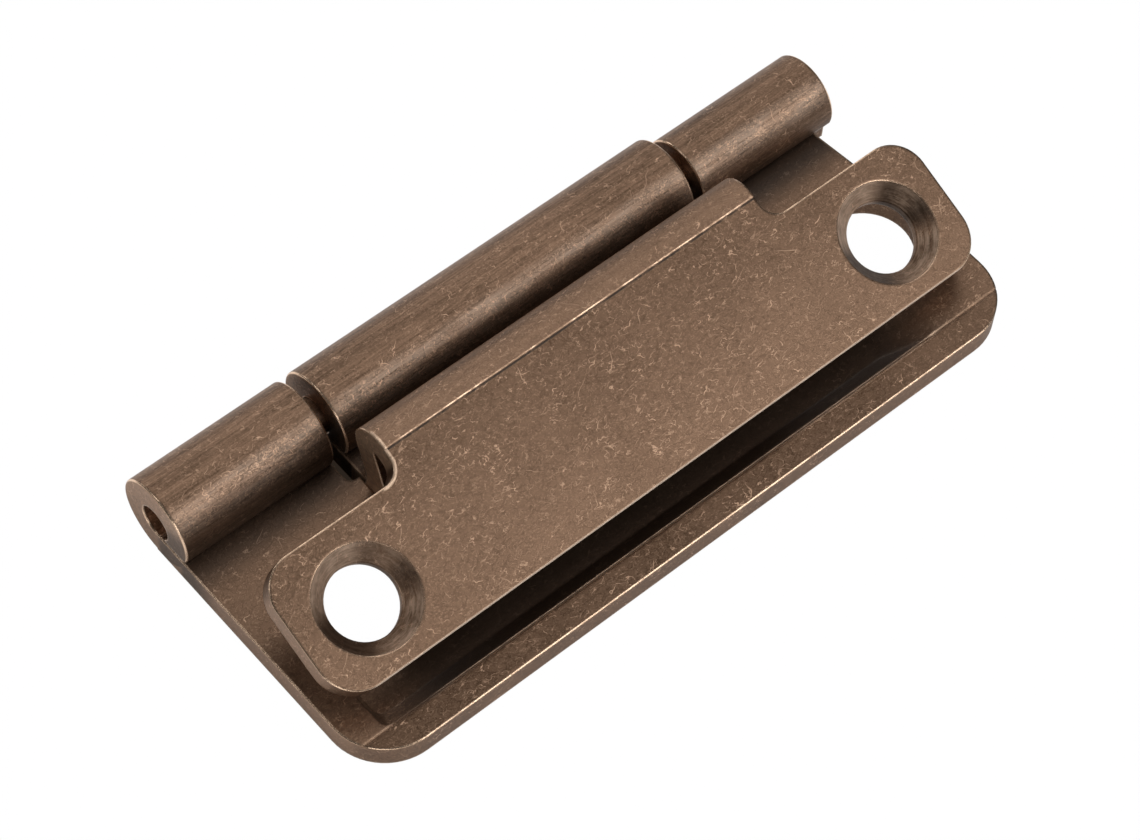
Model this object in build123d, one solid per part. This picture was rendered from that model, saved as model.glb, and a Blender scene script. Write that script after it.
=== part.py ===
from build123d import *
from math import cos, radians, sin, tan
import os

# Cranked hinge: a flat frame leaf, a cranked door leaf and the pin they turn on.
# Millimetres, +Z up, X along the pin, -Y towards the leaves' front edges.
# The origin is under the middle of the hinge as it lies with the frame leaf on a table.

LENGTH = 50.0
REACH = 19.73
SHEET = 1.65
PIN_D = 2.35
PIN_PLAY = 0.05
PIN_GRIP = 0.01
PIN_RECESS = 0.6
PIN_EDGE = 0.2
RIM_R = 0.15
SEAM = 0.3

MIDDLE_BARREL = 26.9
BARREL_GAP = 0.9
TIGHT_KNUCKLE_R = 2.56
TIGHT_SHIFT = 0.15

WINDOW_SIDE_PLAY = 0.2
WINDOW_FRONT_PLAY = 0.3
WINDOW_R = 0.8
RELIEF_DEPTH = 4.26
RELIEF_R = 0.5
FRONT_CORNER_R = 3.8
NECK = 1.3
NECK_LENGTH = 13.0
NECK_R = 0.6
NECK_UNDER = 0.6

SLOT_TO_LEFT_END = 5.8
SLOT_TO_RIGHT_END = 5.0
SLOT_LENGTH = 8.0
SLOT_WIDTH = 6.0
SLOT_TO_AXIS = 10.4

LIP = 1.76
SCORE_WIDTH = 0.14
SCORE_DEPTH = 0.08
POCKET_TO_LEFT_END = 2.2
POCKET_TO_RIGHT_END = 5.5
POCKET_WIDTH = 3.8
POCKET_DEPTH = 0.8
POCKET_R = 0.7
POCKET_FRONT_RUN = 1.15
POCKET_SIDE_RUN = 0.45
POCKET_FADE_RUN = 3.5

CRANK_OUT = 6.96
BEND_R = 1.5
WEB_LEAN = 20.6
FOLD_R = 0.2
TONGUE_STEP = 0.5
STEP_Z = 2.5
STEP_R = 0.3

LEAF_TILT = 22.5
LEAF_RISE = 7.54
LEAF_INSET = 0.5
LEAF_FRONT = 14.87
EAR_BACK = 6.08
EAR_FRONT_R = 2.5
EAR_BACK_R = 2.3
NOTCH_R = 1.2
CREASE_STEP = 0.1

SCREW_TO_END = 4.7
SCREW_TO_AXIS = 10.6
SCREW_HOLE_D = 4.5
COUNTERSINK_D = 6.5
COUNTERSINK_ANGLE = 90.0

BARREL_R = PIN_D / 2 + PIN_PLAY + SHEET
AXIS_Y = (REACH - BARREL_R) / 2
AXIS = Vector(AXIS_Y, BARREL_R)
KNUCKLE_IN = MIDDLE_BARREL / 2 + BARREL_GAP
HALF_TONGUE = MIDDLE_BARREL / 2 + TONGUE_STEP
LEAF_LENGTH = LENGTH - 2 * LEAF_INSET
WINDOW_HALF = MIDDLE_BARREL / 2 + WINDOW_SIDE_PLAY
WINDOW_FRONT = AXIS_Y - CRANK_OUT - WINDOW_FRONT_PLAY

SIDE_VIEW = Plane.YZ
LEAF_PLANE = Plane(
    origin=(0, AXIS_Y - LEAF_RISE * sin(radians(LEAF_TILT)), BARREL_R + LEAF_RISE * cos(radians(LEAF_TILT))),
    x_dir=(1, 0, 0),
    z_dir=(0, -sin(radians(LEAF_TILT)), cos(radians(LEAF_TILT))),
)


def across(profile, x0, x1):
    """A side-view profile drawn out along the pin from x0 to x1."""
    return Pos(x0, 0, 0) * extrude(SIDE_VIEW * profile, amount=x1 - x0, dir=(1, 0, 0))


def curl(bore_r, flat_end, outer_r=BARREL_R, shift=0.0):
    """Side view of a rolled barrel: the sheet runs in underneath, goes round the pin and
    stops just above itself, which leaves the open seam on the front."""
    ring = Pos(AXIS_Y - shift, outer_r) * Circle(outer_r) - Pos(*AXIS) * Circle(bore_r)
    seam_back = AXIS_Y - bore_r * 0.3
    seam_front = AXIS_Y - BARREL_R * 1.1
    seam = Pos((seam_back + seam_front) / 2, SHEET + SEAM / 2) * Rectangle(seam_back - seam_front, SEAM)
    roll = AXIS_Y - shift
    flat = Pos((roll + flat_end) / 2, SHEET / 2) * Rectangle(roll - flat_end, SHEET)
    return ring - seam + flat


def rimmed(barrel, outer_r):
    """The barrel with its outer end edges rounded over."""
    ends = barrel.edges().filter_by(GeomType.CIRCLE)
    return fillet([edge for edge in ends if abs(edge.radius - outer_r) < 0.001], RIM_R)


def window():
    """Plan of the opening that the crank drops through, with its two relief notches."""
    open_back = AXIS_Y + BARREL_R + 1
    notch_front = AXIS_Y - RELIEF_DEPTH
    cut = Pos(0, (WINDOW_FRONT + open_back) / 2) * Rectangle(2 * WINDOW_HALF, open_back - WINDOW_FRONT)
    cut = fillet(cut.vertices().group_by(Axis.Y)[0], WINDOW_R)
    notch = Pos(0, (notch_front + open_back) / 2) * Rectangle(2 * KNUCKLE_IN, open_back - notch_front)
    notch = fillet(notch.vertices().group_by(Axis.Y)[0], min(RELIEF_R, (KNUCKLE_IN - WINDOW_HALF) * 0.9))
    return cut + notch


def pocket():
    """The shallow coined pocket behind the front lip: sloping walls, and a long fade at its
    right end."""
    front = AXIS_Y - REACH + LIP
    left = -LENGTH / 2 + POCKET_TO_LEFT_END
    right = LENGTH / 2 - POCKET_TO_RIGHT_END
    floor_left = left + POCKET_SIDE_RUN
    floor_right = right - POCKET_FADE_RUN
    floor_front = front + POCKET_FRONT_RUN
    floor_width = POCKET_WIDTH - POCKET_FRONT_RUN - POCKET_SIDE_RUN
    corner = min(POCKET_R, floor_width * 0.4)
    top_plan = RectangleRounded(right - left, POCKET_WIDTH, corner)
    floor_plan = RectangleRounded(floor_right - floor_left, floor_width, corner)
    top = Pos((left + right) / 2, front + POCKET_WIDTH / 2, SHEET) * top_plan
    floor_centre = ((floor_left + floor_right) / 2, floor_front + floor_width / 2, SHEET - POCKET_DEPTH)
    return loft([Pos(*floor_centre) * floor_plan, top], ruled=True)


def neck():
    """Plan of the sliver that is off the leaf's right side beside the tighter knuckle."""
    back = AXIS_Y - TIGHT_SHIFT - TIGHT_KNUCKLE_R + NECK_UNDER
    side = LENGTH / 2
    front = back - NECK_LENGTH
    plan = Polygon((side + NECK, back), (side - NECK, back), (side, front), (side + NECK, front), align=None)
    return fillet(plan.vertices().sort_by(Axis.X)[0], NECK_R)


def frame_leaf():
    """The flat leaf with the two outer knuckles."""
    front = AXIS_Y - REACH
    plan = Pos(0, (front + AXIS_Y) / 2) * Rectangle(LENGTH, REACH)
    plan = fillet(plan.vertices().group_by(Axis.Y)[0], FRONT_CORNER_R)
    for x in (SLOT_TO_LEFT_END - LENGTH / 2, LENGTH / 2 - SLOT_TO_RIGHT_END):
        plan -= Pos(x, AXIS_Y - SLOT_TO_AXIS) * SlotOverall(SLOT_LENGTH, SLOT_WIDTH)
    leaf = extrude(plan - window(), amount=SHEET)
    leaf -= pocket()
    leaf -= Pos(0, front + LIP, SHEET) * Box(LENGTH, SCORE_WIDTH, 2 * SCORE_DEPTH)
    grip_r = PIN_D / 2 - PIN_GRIP
    flat_end = AXIS_Y - RELIEF_DEPTH + RELIEF_R
    left = curl(grip_r, flat_end)
    right = curl(grip_r, flat_end, TIGHT_KNUCKLE_R, TIGHT_SHIFT)
    leaf += rimmed(across(left, -LENGTH / 2, -KNUCKLE_IN), BARREL_R)
    leaf += rimmed(across(right, KNUCKLE_IN, LENGTH / 2), TIGHT_KNUCKLE_R)
    leaf -= extrude(neck(), amount=SHEET)
    return leaf.solids().sort_by(SortBy.VOLUME)[-1]


def crank_line():
    """The underside of the sheet in side view, from below the pin up into the tilted plate,
    and how far the end of the fold lies behind the pin axis along that plate."""
    up_web = Vector(sin(radians(WEB_LEAN)), cos(radians(WEB_LEAN)))
    web_out = Vector(-up_web.Y, up_web.X)
    plate_out = Vector(-sin(radians(LEAF_TILT)), cos(radians(LEAF_TILT)))
    down_plate = Vector(-plate_out.Y, plate_out.X)
    outer_r = BEND_R + SHEET
    bend_centre = Vector(AXIS_Y - CRANK_OUT + outer_r, outer_r)
    rise = LEAF_RISE - FOLD_R - SHEET - (bend_centre - AXIS).dot(plate_out)
    climb = (rise - (outer_r + FOLD_R) * web_out.dot(plate_out)) / up_web.dot(plate_out)
    fold_centre = bend_centre + web_out * (outer_r + FOLD_R) + up_web * climb
    foot = Line((AXIS_Y, 0), (bend_centre.X, 0))
    bend = JernArc(foot @ 1, foot % 1, outer_r, -(90 + WEB_LEAN))
    web = Line(bend @ 1, fold_centre - web_out * FOLD_R)
    fold = JernArc(web @ 1, web % 1, FOLD_R, 180 + LEAF_TILT - (90 - WEB_LEAN))
    plate = Line(fold @ 1, fold @ 1 + fold % 1 * CREASE_STEP)
    fold_back = -(fold_centre - AXIS).dot(down_plate)
    return Wire([foot, bend, web, fold, plate]), fold_back


def screw_hole():
    """Countersunk screw hole on the Z axis, with the plate's outer face at z = 0."""
    bore = Pos(0, 0, -SHEET) * Cylinder(SCREW_HOLE_D / 2, 4 * SHEET)
    top_r = COUNTERSINK_D / 2
    slope = tan(radians(COUNTERSINK_ANGLE / 2))
    depth = top_r / slope
    sink = Pos(0, 0, -depth / 2) * Cone(0, top_r, depth)
    return bore + sink


def door_leaf():
    """The cranked leaf: middle barrel, foot, web, folded ridge and the T-shaped plate."""
    half_barrel = MIDDLE_BARREL / 2
    underside, crease = crank_line()
    strip = make_face(underside.offset_2d(SHEET, side=Side.RIGHT, closed=True).edges())
    above_step = Pos(AXIS_Y, STEP_Z + LEAF_RISE) * Rectangle(4 * LEAF_RISE, 2 * LEAF_RISE)
    barrel = curl(PIN_D / 2 + PIN_PLAY, AXIS_Y)
    leaf = rimmed(across(barrel, -half_barrel, half_barrel), BARREL_R)
    leaf += across(strip, -half_barrel, half_barrel)
    leaf += across(strip & above_step, -HALF_TONGUE, HALF_TONGUE)
    steps = leaf.edges().filter_by(Axis.Y).filter_by_position(Axis.Z, STEP_Z - 0.01, STEP_Z + 0.01)
    inner = [e for e in steps if abs(abs(e.center().X) - half_barrel) < 0.01]
    leaf = fillet(inner, min(STEP_R, TONGUE_STEP * 0.9))
    ears = Pos(0, -(LEAF_FRONT + EAR_BACK) / 2) * Rectangle(LEAF_LENGTH, LEAF_FRONT - EAR_BACK)
    ears = fillet(ears.vertices().group_by(Axis.Y)[0], EAR_FRONT_R)
    ears = fillet(ears.vertices().group_by(Axis.Y)[-1], EAR_BACK_R)
    tongue = Pos(0, (crease - LEAF_FRONT) / 2) * Rectangle(2 * HALF_TONGUE, LEAF_FRONT + crease)
    plan = ears + tongue
    roots = [v for v in plan.vertices() if abs(abs(v.X) - HALF_TONGUE) < 0.01 and abs(v.Y + EAR_BACK) < 0.01]
    plan = fillet(roots, min(NOTCH_R, (EAR_BACK + crease) * 0.95))
    leaf += LEAF_PLANE * Pos(0, 0, -CREASE_STEP) * extrude(plan, amount=CREASE_STEP - SHEET)
    screw_x = LEAF_LENGTH / 2 - SCREW_TO_END
    for x in (-screw_x, screw_x):
        leaf -= LEAF_PLANE * Pos(x, -SCREW_TO_AXIS, -CREASE_STEP) * screw_hole()
    return leaf.solids().sort_by(SortBy.VOLUME)[-1]


def hinge_pin():
    """Plain pin, held by the outer knuckles and set back a little from their ends."""
    half = LENGTH / 2 - PIN_RECESS
    body = across(Pos(*AXIS) * Circle(PIN_D / 2), -half, half)
    return chamfer(body.edges().filter_by(GeomType.CIRCLE), PIN_EDGE)


os.makedirs("parts", exist_ok=True)
export_step(frame_leaf(), "parts/frame_leaf.step")
export_step(door_leaf(), "parts/door_leaf.step")
export_step(hinge_pin(), "parts/hinge_pin.step")
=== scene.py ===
import bpy
from math import cos, radians, sin
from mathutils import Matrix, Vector

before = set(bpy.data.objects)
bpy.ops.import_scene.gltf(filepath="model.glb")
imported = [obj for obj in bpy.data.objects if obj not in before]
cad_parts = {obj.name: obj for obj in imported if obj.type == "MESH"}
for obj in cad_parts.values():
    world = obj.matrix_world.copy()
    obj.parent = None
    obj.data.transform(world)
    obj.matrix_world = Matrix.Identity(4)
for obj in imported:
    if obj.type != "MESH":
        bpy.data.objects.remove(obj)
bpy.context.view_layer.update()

# Places in metres; the ones below them, and those in the ramps, are in millimetres.
MM = 0.001
PIN_Y = 8.4275 * MM
PIN_Z = 2.875 * MM
LEAF_TILT = radians(22.5)
CREASE = 4.38
HALF_RIDGE = 13.95
NOTCH_RADIUS = 1.2
EAR_BACK = 6.08
SCREW_X = 19.8
SCREW_Y = 10.6
SCORE_LINE = 17.97
POCKET_LEFT = 22.8

CENTRE = (0.0, 0.0, 0.0)
MIDDLE_GREY = (0.5, 0.5, 0.5)

DARK_BROWN = (0.075, 0.042, 0.024, 1.0)
LIGHT_BROWN = (0.440, 0.272, 0.176, 1.0)
# Colour of the barrels' front band: polish and painted highlight.
POLISH_AND_HIGHLIGHT = (0.52, 0.42, 0.34, 1.0)
SCRATCHED = (0.88, 0.57, 0.38, 1.0)
WORN_COPPER = (1.0, 0.71, 0.50, 1.0)
DEEP_SHADE = (0.022, 0.013, 0.008, 1.0)
FRONT_WALL_LIGHT = (0.95, 0.74, 0.58, 1.0)
WEB_END_LIGHT = (0.74, 0.50, 0.33, 1.0)
SINK_SHADE = (0.045, 0.028, 0.018, 1.0)
# Painted highlight in the countersinks.
SINK_HIGHLIGHT = (0.84, 0.61, 0.45, 1.0)

# Scratches by size: cells to a unit, length, width, curl, seed and strength.
SCRATCH_SIZES = (
    (0.55, 0.45, 0.016, 0.30, 3.1, 0.7),
    (1.5, 0.55, 0.050, 0.8, 17.7, 1.0),
    (2.1, 0.62, 0.072, 1.1, 41.3, 0.9),
    (2.8, 0.70, 0.095, 1.3, 67.9, 0.8),
)

# Softboxes: name, place, width and height in metres, and power in watts.
LIGHTS = (
    ("softbox_key", (0.19, -0.35, 0.34), (0.30, 0.28), 0.77),
    ("softbox_top", (0.16, -0.02, 0.50), (0.40, 0.26), 0.27),
    ("softbox_back", (0.20, 0.24, 0.44), (0.34, 0.26), 0.24),
    ("fill_left", (-0.36, -0.36, 0.16), (0.30, 0.22), 0.40),
    ("strip_left", (-0.30, 0.20, 0.42), (0.12, 0.30), 0.16),
    ("rim_back", (0.10, 0.45, 0.20), (0.50, 0.15), 0.35),
)


class S:
    """A shader socket that can be written in sums."""

    def __init__(self, tree, socket):
        self.tree = tree
        self.socket = socket

    def math(self, operation, *others, clamp=False):
        node = self.tree.add("ShaderNodeMath", operation=operation, use_clamp=clamp)
        self.tree.feed(node.inputs[0], self)
        for place, other in enumerate(others):
            self.tree.feed(node.inputs[place + 1], other)
        return S(self.tree, node.outputs[0])

    def __add__(self, other):
        return self.math("ADD", other)

    def __radd__(self, other):
        return self.math("ADD", other)

    def __sub__(self, other):
        return self.math("SUBTRACT", other)

    def __rsub__(self, other):
        return self.tree.node("ShaderNodeMath", 0, {0: other, 1: self}, operation="SUBTRACT")

    def __mul__(self, other):
        return self.math("MULTIPLY", other)

    def __rmul__(self, other):
        return self.math("MULTIPLY", other)

    def __truediv__(self, other):
        return self.math("DIVIDE", other)

    def __rtruediv__(self, other):
        return self.tree.node("ShaderNodeMath", 0, {0: other, 1: self}, operation="DIVIDE")

    def abs(self):
        return self.math("ABSOLUTE")

    def sign(self):
        return self.math("SIGN")

    def high(self, other):
        return self.math("MAXIMUM", other)

    def clamp(self):
        return self.math("ADD", 0.0, clamp=True)

    def ramp(self, start, end, low=0.0, high=1.0):
        """low up to start, high from end, smooth between them; start may be above end."""
        if start > end:
            start, end, low, high = end, start, high, low
        marks = {"Value": self, "From Min": start, "From Max": end, "To Min": low, "To Max": high}
        return self.tree.node("ShaderNodeMapRange", "Result", marks, interpolation_type="SMOOTHSTEP")

    def mm(self, start, end, low=0.0, high=1.0):
        """A ramp over a length, with its ends in millimetres."""
        return self.ramp(start * MM, end * MM, low, high)


class Tree:
    """The node tree of a material or a world, with one way to add and feed nodes."""

    def __init__(self, owner):
        self.owner = owner
        owner.use_nodes = True
        self.nodes = owner.node_tree.nodes
        self.links = owner.node_tree.links
        self.nodes.clear()

    def add(self, kind, **settings):
        node = self.nodes.new(kind)
        for name, value in settings.items():
            setattr(node, name, value)
        return node

    def feed(self, socket, value):
        if isinstance(value, S):
            self.links.new(value.socket, socket)
        else:
            socket.default_value = value

    def node(self, kind, output, inputs=(), **settings):
        """Adds a node, feeds its inputs by name or place, and gives one output."""
        node = self.add(kind, **settings)
        for name, value in dict(inputs).items():
            self.feed(node.inputs[name], value)
        return S(self, node.outputs[output])

    def split(self, vector):
        node = self.add("ShaderNodeSeparateXYZ")
        self.feed(node.inputs[0], vector)
        return [S(self, socket) for socket in node.outputs]

    def join(self, x, y, z):
        return self.node("ShaderNodeCombineXYZ", 0, {0: x, 1: y, 2: z})

    def vector(self, operation, a, b=CENTRE, output=0):
        return self.node("ShaderNodeVectorMath", output, {0: a, 1: b}, operation=operation)

    def scale(self, vector, factor):
        return self.node("ShaderNodeVectorMath", 0, {0: vector, "Scale": factor}, operation="SCALE")

    def length(self, x, y, z):
        return self.vector("LENGTH", self.join(x, y, z), output="Value")

    def noise(self, vector, scale, detail=2.0, roughness=0.5, output=0):
        inputs = {"Vector": vector, "Scale": scale, "Detail": detail, "Roughness": roughness}
        return self.node("ShaderNodeTexNoise", output, inputs)

    def mix(self, factor, a, b):
        """One colour into another; the colour sockets share their names with hidden ones."""
        node = self.add("ShaderNodeMix", data_type="RGBA")
        self.feed(node.inputs["Factor"], factor)
        for name, value in (("A", a), ("B", b)):
            self.feed([s for s in node.inputs if s.name == name and s.type == "RGBA"][0], value)
        return S(self, [s for s in node.outputs if s.type == "RGBA"][0])

    def light_path(self, kind):
        return self.node("ShaderNodeLightPath", kind)

    def blend(self, factor, a, b):
        return self.node("ShaderNodeMixShader", 0, {0: factor, 1: a, 2: b})

    def scratches(self, place, scale, length, width, curl, seed):
        """Short fine scratches, one in some of the cells of a random pattern, curled by noise."""
        shifted = self.vector("ADD", place, (seed, seed * 0.7, seed * 1.3))
        drift = self.noise(shifted, scale * 1.9, 1.0, output="Color")
        drift = self.scale(self.vector("SUBTRACT", drift, MIDDLE_GREY), curl)
        scaled = self.vector("ADD", self.scale(shifted, scale), drift)
        cells = self.add("ShaderNodeTexVoronoi", feature="F1", voronoi_dimensions="3D")
        self.feed(cells.inputs["Vector"], scaled)
        self.feed(cells.inputs["Scale"], 1.0)
        colour = S(self, cells.outputs["Color"])
        away = self.vector("SUBTRACT", scaled, S(self, cells.outputs["Position"]))
        facing = self.vector("NORMALIZE", self.vector("SUBTRACT", colour, MIDDLE_GREY))
        across = self.vector("DOT_PRODUCT", away, facing, "Value").abs()
        reach = S(self, cells.outputs["Distance"])
        line = across.ramp(width, width * 0.2)
        return line * reach.ramp(length, length * 0.4) * self.split(colour)[0].ramp(0.35, 0.9)

    def show(self, shader, kind="ShaderNodeOutputMaterial"):
        """Ends the tree with its output node."""
        self.feed(self.add(kind).inputs[0], shader)
        return self.owner


class Bronze(Tree):
    """Antique bronze plating: brown, finely scratched, worn to copper on the edges."""

    def __init__(self, name):
        super().__init__(bpy.data.materials.new(name))
        self.place = self.node("ShaderNodeTexCoord", "Object")
        self.x, self.y, self.z = self.split(self.place)
        self.from_y = self.y - PIN_Y
        self.from_z = self.z - PIN_Z
        self.from_pin = self.length(0.0, self.from_y, self.from_z)
        self.barrel = self.from_pin.mm(3.05, 2.95)
        self.sheet_top = self.z.mm(1.70, 1.66)
        self.normal = self.node("ShaderNodeNewGeometry", "Normal")
        self.sideways = self.split(self.normal)[0]
        self.left_end = self.sideways.ramp(-0.85, -0.97)
        self.rounded = self.node("ShaderNodeBevel", 0, {"Radius": 0.24 * MM}, samples=8)
        self.turn = self.vector("DOT_PRODUCT", self.normal, self.rounded, "Value")
        fine = self.scale(self.place, 1000.0)
        self.cloud = self.noise(fine, 0.16, 3.0, 0.55)
        self.grain = self.noise(fine, 3.2, 4.0, 0.7)
        self.speck = self.noise(fine, 9.0, 2.0, 0.6)
        self.patchy = self.noise(fine, 0.5, 3.0, 0.6).ramp(0.32, 0.66, 0.30, 1.0)
        self.rubbed = self.noise(fine, 1.1, 4.0, 0.7).ramp(0.30, 0.56, 0.55, 1.0)

    def stretch(self, along, around):
        """The place, drawn out along the hinge."""
        return self.join(self.x * along, self.y * around, self.z * around)

    def barrels(self):
        """Streaks along the barrels, and a rubbed band on their front, put where the key light's highlight
        falls: partly polish, partly painted highlight.
        """
        streaks = self.noise(self.stretch(150.0, 3000.0), 1.0, 4.0, 0.65)
        fine_streaks = self.noise(self.stretch(420.0, 9000.0), 1.0, 3.0, 0.6)
        self.streak = streaks * 0.45 + fine_streaks * 0.55
        front_up = (self.from_z * 0.70 - self.from_y * 0.71) / self.from_pin
        uneven = self.noise(self.stretch(260.0, 900.0), 1.0, 2.0, 0.6).ramp(0.36, 0.62, 0.45, 1.0)
        # The band is placed by the angle of the key light's highlight: part polish, part painted
        # highlight.
        self.polish_and_highlight = self.barrel * front_up.ramp(0.89, 0.985) * uneven

    def scratch(self):
        """Hairline scratches, with curls and pits between them along a noise's contour lines."""
        stretched = self.stretch(700.0, 1150.0)
        hairs = 0.0
        for scale, length, width, curl, seed, strength in SCRATCH_SIZES:
            layer = self.scratches(stretched, scale, length, width, curl, seed) * strength
            hairs = layer.high(hairs)
        self.hairs = hairs * self.patchy.high(self.polish_and_highlight)
        swirl = self.noise(stretched, 1.7, 1.5, 0.6)
        whorl = self.noise(stretched, 3.0, 1.0, 0.5)
        swirl_line = (swirl - 0.52).abs().ramp(0.030, 0.008)
        whorl_line = (whorl - 0.50).abs().ramp(0.040, 0.010) * 0.8
        self.curls = swirl_line.high(whorl_line) * self.speck.ramp(0.44, 0.66)
        swirl_pit = (swirl - 0.46).abs().ramp(0.030, 0.008)
        whorl_pit = (whorl - 0.42).abs().ramp(0.035, 0.010) * 0.8
        self.pits = swirl_pit.high(whorl_pit)

    def wear(self):
        """Copper on the edges, but little on the pocket's edges and the ends of the score line."""
        steep = self.sideways.abs()
        rims = self.barrel * steep.ramp(0.10, 0.30) * steep.ramp(0.97, 0.80)
        coined = self.from_y.mm(-17.85, -17.65) * self.from_y.mm(-13.6, -13.9) * self.z.mm(1.70, 1.68)
        coined = coined * (self.x + POCKET_LEFT * MM).mm(-0.5, -0.3) * self.x.mm(20.2, 19.9)
        scored = (self.from_y + SCORE_LINE * MM).abs().mm(0.30, 0.20)
        scored = scored * self.x.mm(-17.5, -20.5).high(self.x.mm(17.5, 20.5))
        worn = self.turn.ramp(0.990, 0.89).high(rims) * self.rubbed
        self.worn = worn * coined.high(scored * 0.75).ramp(1.0, 0.0)

    def paint_light_and_shade(self):
        """Painted shade in the pocket, in the nook under the barrels and on the barrel fronts; painted
        shade darkening the lip, painted light on the left ends.
        """
        # Painted shade in the pocket, fading at its ends.
        deep = self.from_y.mm(-13.9, -14.1) * self.from_y.mm(-18.1, -17.9) * self.sheet_top
        deep = deep * (self.x + POCKET_LEFT * MM).mm(-1.5, 5.0) * self.x.mm(22.8, 16.0)
        # Painted shade on the barrels' lower fronts, which face the leaf.
        low_front = self.barrel * (self.from_z / self.from_pin).ramp(0.78, 0.20)
        low_front = low_front * self.from_y.mm(0.0, -0.5) * self.x.mm(16.0, 13.5, 0.4, 1.0)
        # Painted shade on the leaf in the nook beside the barrels, stronger to the right.
        nook = self.sheet_top * self.from_y.mm(-5.8, -3.3) * self.from_y.mm(-2.0, -2.5)
        nook = nook * self.x.mm(14.0, 17.0, 0.65, 0.85)
        self.shade = (deep * 0.88).high(low_front * 0.60).high(nook)
        # Painted shade on the front lip, darker to the left.
        lip = self.sheet_top * self.z.mm(1.60, 1.64) * self.from_y.mm(-17.9, -18.1)
        # The barrels' front band is made lighter still: painted highlight.
        self.lift = self.polish_and_highlight * 0.10 - lip * self.x.mm(12.0, 20.0, 0.27, 0.16)
        # Painted light on faces turned to the left, near the left end.
        self.lift = self.lift + self.left_end * self.x.mm(-17.0, -20.0) * 0.34

    def tilted_plate(self):
        """The tilted plate: painted light on the ridge, painted shade towards the crease, a broken crease
        line of wear and painted highlight beside painted shade, bright rim round the left notch.
        """
        self.up_y = self.from_y * cos(LEAF_TILT) + self.from_z * sin(LEAF_TILT)
        self.up_z = self.from_z * cos(LEAF_TILT) - self.from_y * sin(LEAF_TILT)
        outside = self.up_z.mm(7.0, 7.2)
        ridge = outside * self.up_y.mm(-4.45, -4.25)
        plate = outside * self.up_y.mm(-4.40, -4.50)
        # Painted light on the ridge; painted shade darkening the plate towards the crease.
        self.lift = self.lift + ridge * 0.16 - plate * self.up_y.mm(-13.0, -4.6) * 0.16
        # Painted light, a little more to the right.
        self.lift = self.lift + plate * self.x.mm(4.0, 14.0) * 0.05
        at_crease = self.up_y + CREASE * MM
        broken = self.noise(self.scale(self.place, 900.0), 1.0, 3.0, 0.7)
        # The bright crease line is partly wear and partly painted highlight.
        bright = (at_crease - 0.06 * MM).abs().mm(0.060, 0.020) * broken.ramp(0.40, 0.60, 0.10, 0.75)
        # A dark line of painted shade beside it.
        dark = (at_crease + 0.06 * MM).abs().mm(0.080, 0.030) * broken.ramp(0.62, 0.42, 0.45, 1.0)
        self.worn = self.worn * (outside * at_crease.abs().mm(0.45, 0.25)).ramp(1.0, 0.0)
        self.worn = self.worn.high(outside * bright)
        self.shade = self.shade.high(outside * dark * 0.9)

        root_x = self.x + (HALF_RIDGE + NOTCH_RADIUS) * MM
        root_y = self.up_y + (EAR_BACK - NOTCH_RADIUS) * MM
        from_root = self.length(root_x, root_y, 0.0)
        ridge_end = (self.x + HALF_RIDGE * MM).mm(0.24, 0.14) * self.up_y.mm(-5.0, -4.8)
        root = from_root.mm(1.44, 1.34) * self.up_y.mm(-4.8, -5.0) * self.x.mm(-15.5, -15.1)
        self.notch_rim = outside * ridge_end.high(root) * self.sideways.ramp(-0.6, -0.3)
        self.notch_rim = self.notch_rim * broken.ramp(0.35, 0.50, 0.60, 1.0)
        self.worn = self.worn.high(self.notch_rim)

    def plating(self, paler):
        """Colour, metal and relief from the marks above."""
        tone = 0.56 + paler + (self.cloud - 0.5) * 0.45 + (self.grain - 0.5) * 0.55
        tone = tone + (self.speck - 0.5) * 0.35 + self.lift
        tone = tone + self.barrel * ((self.streak - 0.5) * 1.9) - self.pits * (0.12 + self.polish_and_highlight * 0.26)
        sheen = self.polish_and_highlight * (0.34 + (self.streak - 0.5) * 1.4)
        scratched = (self.hairs * 0.85).high(self.curls * (0.17 + self.polish_and_highlight * 0.6))
        base = self.mix(tone.clamp(), DARK_BROWN, LIGHT_BROWN)
        # Painted highlight and polish on the barrels' front band.
        base = self.mix(sheen.clamp(), base, POLISH_AND_HIGHLIGHT)
        base = self.mix(scratched.clamp(), base, SCRATCHED)
        base = self.mix(self.shade.clamp(), base, DEEP_SHADE)
        self.base = self.mix(self.worn.clamp(), base, WORN_COPPER)
        rough = 0.42 + (self.grain - 0.5) * 0.20 + (self.cloud - 0.5) * 0.10
        self.rough = rough + self.polish_and_highlight * 0.06 - self.worn * 0.24 - self.hairs * 0.08
        height = self.grain * 0.6 + self.speck * 0.5 + self.barrel * self.streak * 0.9
        self.height = height + self.hairs * 0.5 + self.curls * 0.4 - self.pits * 0.4
        self.metal = 0.90 + self.worn * 0.10 - self.hairs * 0.25 - self.shade * 0.5

    def tilted_walls(self):
        """Painted light: the tilted leaf's front wall and the web's left end, both painted paler."""
        front = self.up_y.mm(-14.75, -14.84) * self.from_z.mm(1.0, 1.2)
        # Painted light on the front wall.
        self.base = self.mix((front * 0.85).clamp(), self.base, FRONT_WALL_LIGHT)
        web = self.left_end * self.x.mm(-17.0, -16.0) * self.from_y.mm(-3.2, -3.4)
        # Painted light on the web's left end, which lies in shade, varied with the grain.
        web_light = web * self.grain.ramp(0.3, 0.7, 0.25, 0.60)
        self.base = self.mix(web_light.clamp(), self.base, WEB_END_LIGHT)
        self.metal = self.metal - front * 0.85 - web * 0.35 - self.notch_rim * 0.45

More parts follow.
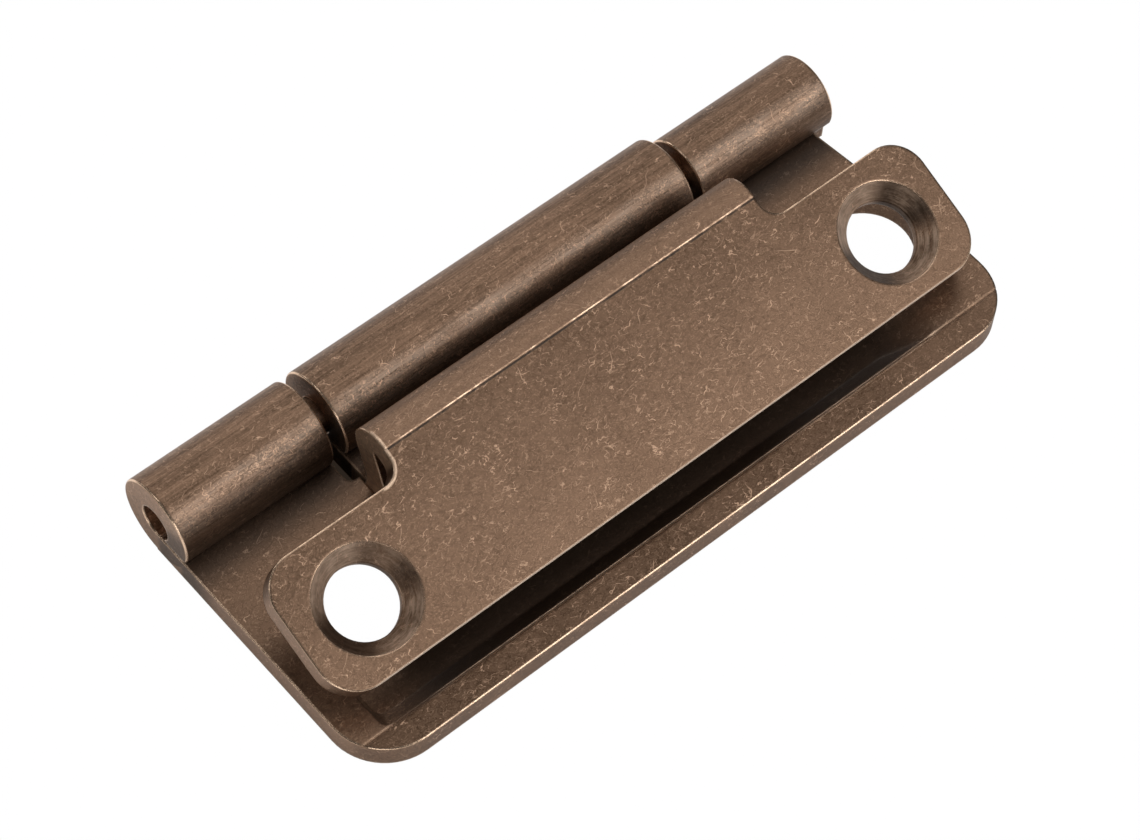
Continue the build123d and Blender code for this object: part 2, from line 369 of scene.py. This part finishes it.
    def countersinks(self):
        """Turned rings in the countersinks, with painted highlights on two sides and painted shade between
        them.
        """
        hole_y = self.up_y + SCREW_Y * MM
        hole_x = self.x.abs() - SCREW_X * MM
        from_hole = self.length(hole_x, hole_y, 0.0)
        sink = from_hole.mm(3.22, 3.18) * self.up_z.mm(5.4, 5.6)
        rings = self.noise(self.join(from_hole * 9000.0, self.up_z * 9000.0, 0.0), 1.0, 3.0, 0.7)
        round_hole = self.join(hole_x * 1400.0, hole_y * 1400.0, from_hole * 6000.0)
        turned = self.noise(round_hole, 1.0, 3.0, 0.6)
        scuffed = (rings * 0.5 + turned * 0.5).ramp(0.36, 0.62)
        across = (hole_y * 0.906 - hole_x * self.x.sign() * 0.423) / from_hole
        # How each side of a countersink faces the light.
        lit = across * across * 2.0 - 1.0
        # Painted shade on the sides turned from the light.
        sink_shade_side = sink * lit.ramp(0.2, -0.8) * self.x.mm(-10.0, 10.0, 0.50, 0.85)
        self.base = self.mix(sink_shade_side.clamp(), self.base, SINK_SHADE)
        # Painted highlights on the lit sides, broken by the turned rings.
        bright_side = sink * across.ramp(0.35, 0.90)
        shine = sink * scuffed * lit.ramp(-0.4, 0.7, 0.15, 0.75)
        shine = shine.high(bright_side * (0.30 + scuffed * 0.55))
        self.base = self.mix(shine.clamp(), self.base, SINK_HIGHLIGHT)
        self.metal = self.metal - bright_side * (0.25 + scuffed * 0.20)
        self.height = self.height + sink * rings * 1.2

    def finish(self):
        relief = {"Strength": 0.32, "Distance": 0.02 * MM, "Height": self.height, "Normal": self.rounded}
        surface = {
            "Base Color": self.base,
            "Roughness": self.rough.clamp(),
            "Metallic": self.metal.clamp(),
            "Normal": self.node("ShaderNodeBump", 0, relief),
        }
        return self.show(self.node("ShaderNodeBsdfPrincipled", 0, surface))


def bronze(name, tilted=False, paler=0.0):
    """The plating for one piece; only the tilted leaf has a crease, a notch rim and countersinks."""
    plating = Bronze(name)
    plating.barrels()
    plating.scratch()
    plating.wear()
    plating.paint_light_and_shade()
    if tilted:
        plating.tilted_plate()
    plating.plating(paler)
    if tilted:
        plating.tilted_walls()
        plating.countersinks()
    return plating.finish()


def dress(node, material):
    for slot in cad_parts[node].material_slots:
        slot.material = material


def softbox(name, place, size, power):
    """A soft lamp that faces the hinge."""
    data = bpy.data.lights.new(name, "AREA")
    data.shape = "RECTANGLE"
    data.size, data.size_y = size
    data.energy = power
    light = bpy.data.objects.new(name, data)
    bpy.context.collection.objects.link(light)
    light.location = place
    light.rotation_euler = (-Vector(place)).to_track_quat("-Z", "Y").to_euler()


def surroundings():
    """Soft grey surroundings, white where the camera looks past the hinge."""
    t = Tree(bpy.data.worlds.new("studio"))
    seen = t.mix(t.light_path("Is Camera Ray"), (0.07, 0.07, 0.07, 1.0), (1.0, 1.0, 1.0, 1.0))
    sky = t.node("ShaderNodeBackground", 0, {"Color": seen})
    bpy.context.scene.world = t.show(sky, "ShaderNodeOutputWorld")


def pale_floor():
    """A pale floor: the white surroundings show through it to the camera, and so does a leaf that
    has swung below it. A painted shadow darkens it under the relief notches beside the crank."""
    bpy.ops.mesh.primitive_plane_add(size=4.0, location=(0.0, 0.0, -0.05 * MM))
    plane = bpy.context.object
    plane.name = "studio_floor"
    t = Tree(bpy.data.materials.new("pale_floor"))
    x, y = t.split(t.node("ShaderNodeTexCoord", "Object"))[:2]
    # Painted shadow under the relief notches.
    notch = x.abs().mm(14.8, 14.5) * x.abs().mm(13.0, 13.3)
    notch = notch * y.mm(3.6, 4.0) * y.mm(8.9, 8.5)
    board = t.mix(notch, (0.80, 0.80, 0.80, 1.0), (0.02, 0.015, 0.01, 1.0))
    white = t.mix(notch, (1.10, 1.10, 1.10, 1.0), (0.025, 0.018, 0.013, 1.0))
    # Reflections see the floor glow, weaker right beside the hinge: painted reflection and painted shade.
    beside = (x.abs() - 25.0 * MM).high(y.abs() - 11.3 * MM)
    around = beside.mm(0.5, 4.0, 0.24, 0.60) * beside.mm(40.0, 20.0, 0.30, 1.0)
    from_camera = t.light_path("Is Camera Ray")
    share = from_camera * 0.90 + t.light_path("Is Glossy Ray") * around
    diffuse = t.node("ShaderNodeBsdfDiffuse", 0, {"Color": board})
    floor = t.blend(share, diffuse, t.node("ShaderNodeEmission", 0, {"Color": white}))
    gap = from_camera * notch.ramp(1.0, 0.0, 0.0, 0.90)
    gap = gap.high(t.light_path("Is Shadow Ray"))
    floor = t.blend(gap, floor, t.node("ShaderNodeBsdfTransparent", 0))
    plane.data.materials.append(t.show(floor))


def camera():
    """The place, turn and focal length that were fitted to the photo."""
    data = bpy.data.cameras.new("photo_camera")
    data.sensor_fit = "HORIZONTAL"
    data.sensor_width = 36.0
    data.lens = 114.6106
    data.clip_start = 0.005
    data.clip_end = 10.0
    eye = bpy.data.objects.new("photo_camera", data)
    bpy.context.collection.objects.link(eye)
    eye.location = (-0.0823960, -0.0817472, 0.1796948)
    eye.rotation_mode = "XYZ"
    eye.rotation_euler = (0.5698810, -0.0468409, -0.7094725)
    bpy.context.scene.camera = eye


dress("frame_leaf", bronze("bronze_frame_leaf"))
dress("door_leaf", bronze("bronze_door_leaf", tilted=True))
dress("hinge_pin", bronze("bronze_pin", paler=0.15))
surroundings()
pale_floor()
for light in LIGHTS:
    softbox(*light)
camera()
bpy.context.scene.view_settings.view_transform = "Standard"
